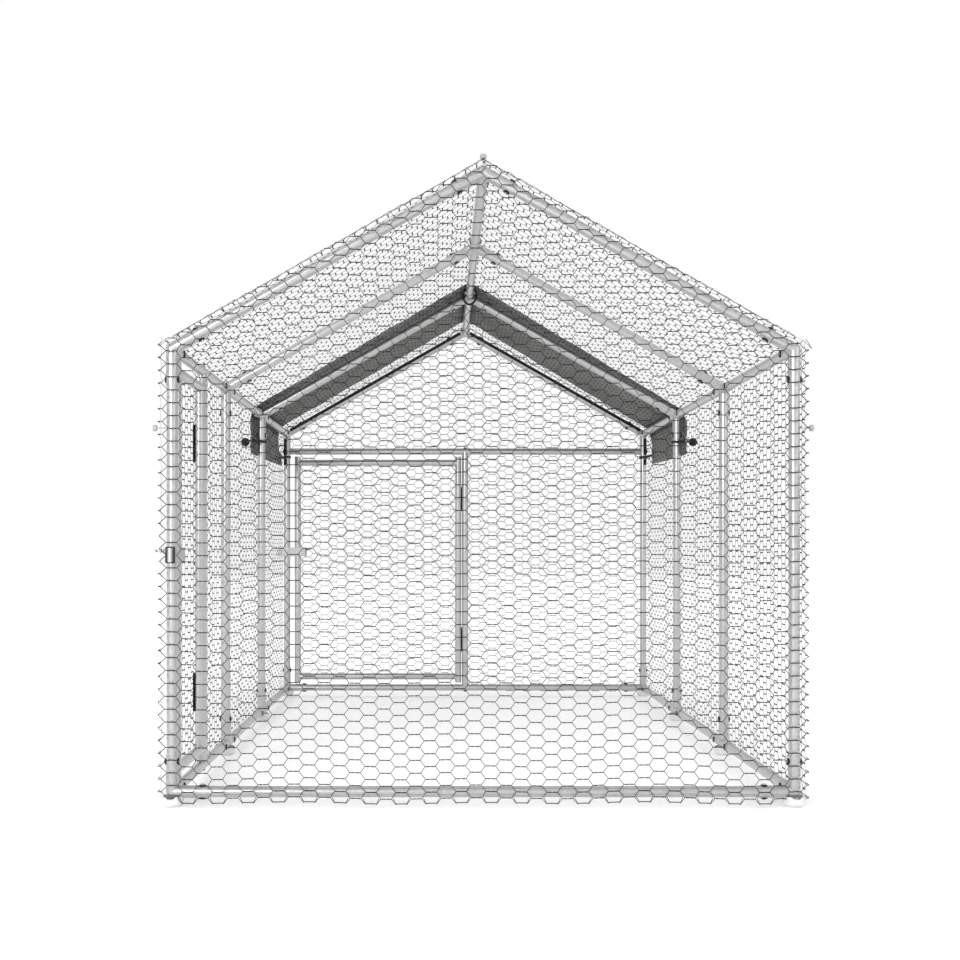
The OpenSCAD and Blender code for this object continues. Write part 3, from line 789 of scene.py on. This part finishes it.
def make_cover():
    line, normals = cover_line()
    run_at = np.concatenate([[0], np.cumsum(np.hypot(*np.diff(line, axis=0).T))])
    girth = run_at[-1]
    clear_selection()
    bpy.ops.mesh.primitive_grid_add(x_subdivisions=256, y_subdivisions=96, size=1)
    sheet = bpy.context.object
    sheet.name = "woven_cover"

    flat_layer = sheet.data.uv_layers[0]
    flat_layer.name = "flat"
    long_side = cover_high.y - cover_low.y
    for item in flat_layer.data:
        item.uv = (item.uv[0] * girth, item.uv[1] * long_side)

    def rule(u, v, n):
        run = (u + 0.5) * girth
        share = v + 0.5
        x = np.interp(run, run_at, line[:, 0])
        z = np.interp(run, run_at, line[:, 1])
        out_x = np.interp(run, run_at, normals[:, 0])
        out_z = np.interp(run, run_at, normals[:, 1])
        rear, front = rear_edge(x, z), front_edge(x, z)
        y = rear + share * (front - rear)
        from_edge = np.minimum.reduce([run, girth - run, y - rear, front - y])
        hem = np.where(from_edge < HEM, HEM_RISE, 0)
        stand_off = folds(x, y, z, run) + hem
        lift = FLAP_LIFT * share * down_flap(z, eave_height - cover_low.z) ** 3
        return x + out_x * stand_off, y, z + out_z * stand_off + lift

    reshape(sheet, rule)
    thicken(sheet, COVER_THICKNESS, 0)
    bpy.ops.object.shade_smooth_by_angle(angle=math.radians(50))
    dress(sheet, cover_cloth)
    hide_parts("cover")
    return sheet, girth


def grommet(name, centre, outward):
    """A pressed eyelet: a flattened ring."""
    clear_selection()
    bpy.ops.mesh.primitive_torus_add(major_segments=28, minor_segments=8, major_radius=GROMMET_R,
                                     minor_radius=GROMMET_ROLL_R)
    ring = bpy.context.object
    ring.name = name
    open_mesh(ring)
    bpy.ops.transform.resize(value=(1, 1, GROMMET_FLATNESS))
    close_mesh()
    ring.matrix_world = Matrix.Translation(centre) @ turned_to(Vector(outward))
    settle(ring)
    bpy.ops.object.shade_smooth()
    dress(ring, ring_zinc)
    return ring


cover_sheet, cover_girth = make_cover()
cloth_out = COVER_OUT + CLOTH_STAND_OFF
for number, ((side, _), ring_y) in enumerate(GROMMET_Y.items(), 1):
    grommet("flap_grommet_%d" % number,
                         (side * (half_width + cloth_out), ring_y, bungee_height), (side, 0, 0))
for side in (-1, 1):
    x = side * ROOF_GROMMET_ACROSS
    height = ridge_height + cloth_out / math.cos(pitch) - ROOF_GROMMET_ACROSS * math.tan(pitch)
    grommet("roof_grommet_" + SIDE_NAME[side],
                         (x, on_roof(REAR_AT_RIDGE, x) + GROMMET_IN, height),
                         (side * math.sin(pitch), 0, math.cos(pitch)))


# Elastic cords

CORD_D = 5 * MM
CORD_CLEARANCE = 0.6 * MM
LOOP_R = tube_r + CORD_CLEARANCE + CORD_D / 2
ball_low, ball_high = node_size("bungee_balls")
BALL_D = ball_high.z - ball_low.z
ball_x = ball_high.x - BALL_D / 2
RIDGE_CORD_BACK = 60 * MM
RIDGE_CORD_HALF = 27 * MM
RIDGE_CORD_DROP = 42 * MM
RIDGE_CORD_RISE = LOOP_R + 2 * MM
RIDGE_CORD_SLACK = 4 * MM


def eased(points):
    """The same route with its corners cut, three times over."""
    for _ in range(3):
        cut = [points[0]]
        for start, end in zip(points, points[1:]):
            cut += [start.lerp(end, 0.25), start.lerp(end, 0.75)]
        points = cut + [points[-1]]
    return points


def cord_path(side, at, ring_y):
    """An elastic loop, laid twice from the ball in through the grommet, round the post and back."""
    flap_x = half_width + COVER_OUT
    through = 9 * MM
    half_gap = CORD_D * 0.54
    steps, opening = 30, 70
    post = Vector((half_width, at))
    neck = Vector((ball_x - BALL_D * 0.2, at))
    outer, hole, inner = (Vector((flap_x + step, ring_y)) for step in (through, 0, -through))

    def beside(run):
        return Vector((run.y, -run.x)).normalized() * half_gap

    places = (neck, outer, hole, inner)
    shifts = (beside(outer - neck), beside(outer - neck), Vector((0, half_gap)), beside(post - inner))
    facing = math.atan2(ring_y - at, COVER_OUT)
    route = []
    for layer in (half_gap, -half_gap):
        route += [(*(place + shift), layer) for place, shift in zip(places, shifts)]
        for step in range(steps + 1):
            angle = facing + math.radians(opening / 2 + (360 - opening) * step / steps)
            route.append((*(post + Vector((math.cos(angle), math.sin(angle))) * LOOP_R), layer))
        route += [(*(place - shift), layer) for place, shift in zip(places[::-1], shifts[::-1])]
        if layer > 0:
            route.append((ball_x, at, 0))
    return eased([Vector((side * x, y, bungee_height + z)) for x, y, z in route])


def ridge_cord_path():
    """Twice over the ridge socket behind the third frame, hanging slack under it."""
    at = frame_y[2] - RIDGE_CORD_BACK
    turns, steps = 2, 80
    pace = CORD_D * 1.1
    points = []
    for step in range(steps + 1):
        wound = turns * step / steps
        angle = math.radians(90 + 360 * wound)
        slack = RIDGE_CORD_SLACK * wound
        tall = RIDGE_CORD_RISE if math.sin(angle) > 0 else RIDGE_CORD_DROP
        points.append(Vector(((RIDGE_CORD_HALF + slack) * math.cos(angle), at + pace * wound,
                              ridge_height + (tall + slack) * math.sin(angle))))
    return points


def make_cord(name, points):
    curve = bpy.data.curves.new(name, "CURVE")
    curve.dimensions = "3D"
    curve.bevel_depth = CORD_D / 2
    curve.bevel_resolution = 3
    curve.use_fill_caps = True
    spline = curve.splines.new("POLY")
    spline.points.add(len(points) - 1)
    for point, place in zip(spline.points, points):
        point.co = (*place, 1)
    obj = bpy.data.objects.new(name, curve)
    bpy.context.collection.objects.link(obj)
    dress(obj, elastic)
    return obj


cord_paths = {"bungee_cord_%d" % number: cord_path(side, at, ring_y)
              for number, ((side, at), ring_y) in enumerate(GROMMET_Y.items(), 1)}
cord_paths["ridge_cord"] = ridge_cord_path()
for name, points in cord_paths.items():
    cord = make_cord(name, points)
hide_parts("bungee_cords")


# Net buttons: pale knobs on shanks that pin the rear netting to its frame

KNOB_R = 10 * MM
KNOB_LONG = 14 * MM
KNOB_ROUND = 4 * MM
SHANK_R = 2 * MM
BUTTON_BELOW_EAVE = 247 * MM
SIDE_BUTTON_REACH = 37 * MM
TOP_BUTTON_REACH = 28 * MM
TOP_BUTTON_FOOT = ridge_height + tube_r + 4 * MM


def net_button(name, foot, outward, reach):
    foot, outward = Vector(foot), Vector(outward)
    tip = foot + outward * reach
    clear_selection()
    bpy.ops.mesh.primitive_cylinder_add(vertices=20, radius=KNOB_R, depth=KNOB_LONG)
    knob = bpy.context.object
    knob.name = name
    open_mesh(knob)
    bpy.ops.mesh.bevel(offset=KNOB_ROUND, segments=3)
    close_mesh()
    knob.matrix_world = Matrix.Translation(tip) @ turned_to(outward)
    settle(knob)
    bpy.ops.object.shade_smooth_by_angle(angle=math.radians(40))
    dress(knob, button_plastic)
    shank = strand(foot, tip, SHANK_R)
    shank.name = name + "_shank"
    dress(shank, button_plastic)


for side in (-1, 1):
    net_button("net_button_" + SIDE_NAME[side],
               (side * (half_width + tube_r), frame_y[0], eave_height - BUTTON_BELOW_EAVE),
               (side, 0, 0), SIDE_BUTTON_REACH)
net_button("net_button_top", (0, frame_y[0], TOP_BUTTON_FOOT), UP, TOP_BUTTON_REACH)


# Side stop plate: its outer lip is rolled like the post beside it, with painted shade towards its sides and
# a dark bead round its edges

LIP_DEPTH = 0.5 * MM
LIP_BEAD_R = 2 * MM
LIP_THICKNESS = 1 * MM


def bent_strip(start, end, outward, radius, first, last, thickness):
    """A strip bent round a tube, from one angle to another; 0 is straight back and 90 is outward."""
    start, end = Vector(start), Vector(end)
    clear_selection()
    bpy.ops.mesh.primitive_cylinder_add(vertices=90, radius=radius, depth=(end - start).length,
                                        end_fill_type="NOTHING")
    strip = bpy.context.object
    delete_points(strip, lambda place: not first < math.degrees(math.atan2(place.y, place.x)) < last)
    thicken(strip, thickness, 1)
    strip.matrix_world = frame_of((start + end) / 2, (0, -1, 0), outward)
    settle(strip)
    bpy.ops.object.shade_smooth_by_angle(angle=math.radians(40))
    return strip


def stop_plate_lip():
    plates = frame["nodes"]["latch_stop_plates"]
    rear = node_size("latch_stop_plates")[0].y
    lip = np.array([vertex.co for vertex in plates.data.vertices if vertex.co.y < rear + LIP_DEPTH])
    left, right = lip[:, 0].min(), lip[:, 0].max()
    bottom, top = lip[:, 2].min(), lip[:, 2].max()
    corners = [(left, rear, bottom), (left, rear, top), (right, rear, top), (right, rear, bottom)]
    beads = [strand(start, end, LIP_BEAD_R) for start, end in zip(corners, corners[1:] + corners[:1])]
    dress(join(beads, "stop_plate_trim"), black_paint)

    middle, half_chord = (left + right) / 2, (right - left) / 2
    axis_y = rear + math.sqrt(tube_r ** 2 - half_chord ** 2)
    edge = math.degrees(math.asin(half_chord / tube_r))
    roll = bent_strip((middle, axis_y, bottom + LIP_BEAD_R), (middle, axis_y, top - LIP_BEAD_R), (1, 0, 0),
                      tube_r, -edge, edge, LIP_THICKNESS)
    roll.name = "stop_plate_roll"
    # the roll's material carries painted shade towards its edges
    dress(roll, zinc_with_painted_edge_shade(middle, half_chord))


stop_plate_lip()


# Painted shadow: a dark strip where the cover shades the front frame, along the rafters and down to the
# height of the cover's hem

SOCKET_R = tube_r + 2.1 * MM
# The strips below are painted shadow from the cover, laid as dark plastic on the front frame's tubes.
SHADOW_GAP = 0.3 * MM
SHADOW_THICKNESS = 1.2 * MM

# What a length is bent round, and the angles in degrees between which it lies
SHADOW_FROM = -5
ON_SOCKET = (SOCKET_R, 54)
ON_TUBE = (tube_r, 68)

# Distances from the joints: along a socket, to the bare rafter, and along the post under its washer
SOCKET_RUN = (26 * MM, 115 * MM)
TUBE_START = 116 * MM
POST_RUN = (138 * MM, 170 * MM)


def front_painted_shadow(side):
    """One side's dark strip of painted shadow, in lengths that leave out the joints, the washers and the
    elastic cord.
    """
    joint = Vector((side * half_width, frame_y[3], eave_height))
    rafter = Vector((0, frame_y[3], ridge_height)) - joint
    run = rafter.length
    up_rafter, down_post = rafter / run, -Vector(UP)
    over, beside = (side * math.sin(pitch), 0, math.cos(pitch)), (side, 0, 0)
    lengths = []
    for way, outward, (start, end), (radius, reach) in (
            (up_rafter, over, SOCKET_RUN, ON_SOCKET),
            (up_rafter, over, (TUBE_START, run - TUBE_START), ON_TUBE),
            (up_rafter, over, (run - SOCKET_RUN[1], run - SOCKET_RUN[0]), ON_SOCKET),
            (down_post, beside, SOCKET_RUN, ON_SOCKET),
            (down_post, beside, POST_RUN, ON_TUBE)):
        lengths.append(bent_strip(joint + way * start, joint + way * end, outward, radius + SHADOW_GAP,
                                  SHADOW_FROM, reach, SHADOW_THICKNESS))
    # painted shadow: black plastic on the tubes' front and outer sides
    dress(join(lengths, "front_painted_shadow_" + SIDE_NAME[side]), black_plastic)


for side in (-1, 1):
    front_painted_shadow(side)


# Stage

FLOOR_SIZE = 60.0
FLOOR_BELOW = 0.5 * MM
FLOOR_GLOW = 0.22
SKY_LIGHT = 0.95


def seen_rays(nodes, links):
    """1 for the rays that show the stage: from the camera, in a reflection or through something clear."""
    path = nodes.new("ShaderNodeLightPath")
    mirrored = reckon(nodes, links, "MAXIMUM", path.outputs["Is Glossy Ray"],
                      path.outputs["Is Transmission Ray"])
    return reckon(nodes, links, "MAXIMUM", path.outputs["Is Camera Ray"], mirrored)


def set_stage():
    clear_selection()
    bpy.ops.mesh.primitive_plane_add(size=FLOOR_SIZE, location=(0, 0, -FLOOR_BELOW))
    floor = bpy.context.object
    floor.name = "floor"
    material, nodes, links, shader = new_material("studio floor")
    shader.inputs["Base Color"].default_value = (0.94, 0.94, 0.94, 1)
    shader.inputs["Roughness"].default_value = 0.9
    shader.inputs["Specular IOR Level"].default_value = 0.1
    shader.inputs["Emission Color"].default_value = (1, 1, 1, 1)
    glow = spread(nodes, links, seen_rays(nodes, links), 0.0, FLOOR_GLOW)
    links.new(glow, shader.inputs["Emission Strength"])
    floor.data.materials.append(material)

    world = bpy.data.worlds.new("studio")
    bpy.context.scene.world = world
    world.use_nodes = True
    nodes, links = world.node_tree.nodes, world.node_tree.links
    background = nodes["Background"]
    background.inputs["Color"].default_value = (1, 1, 1, 1)
    links.new(spread(nodes, links, seen_rays(nodes, links), SKY_LIGHT, 1.0), background.inputs["Strength"])


def lamp(name, place, target, size, watts):
    data = bpy.data.lights.new(name, "AREA")
    data.size = size
    data.energy = watts
    obj = bpy.data.objects.new(name, data)
    bpy.context.collection.objects.link(obj)
    obj.location = place
    obj.rotation_euler = (Vector(target) - Vector(place)).to_track_quat("-Z", "Y").to_euler()


def set_lamps():
    middle = (0, 0, 1.0)
    lamp("key", (-3.0, -7.0, 2.6), middle, 1.2, 160)
    lamp("fill", (5.0, -5.0, 3.0), middle, 2.5, 40)


def set_camera():
    data = bpy.data.cameras.new("camera")
    data.sensor_width = SENSOR
    data.lens = FOCAL_PIXELS / PHOTO * SENSOR
    data.shift_x = (PHOTO / 2 - LENS_AXIS[0]) / PHOTO
    data.shift_y = (LENS_AXIS[1] - PHOTO / 2) / PHOTO
    data.clip_end = 200
    camera = bpy.data.objects.new("camera", data)
    bpy.context.collection.objects.link(camera)
    camera.location = CAMERA_AT
    camera.rotation_euler = (math.radians(90), 0, 0)
    bpy.context.scene.camera = camera


bpy.context.scene.view_settings.view_transform = "Standard"
set_stage()
set_lamps()
set_camera()
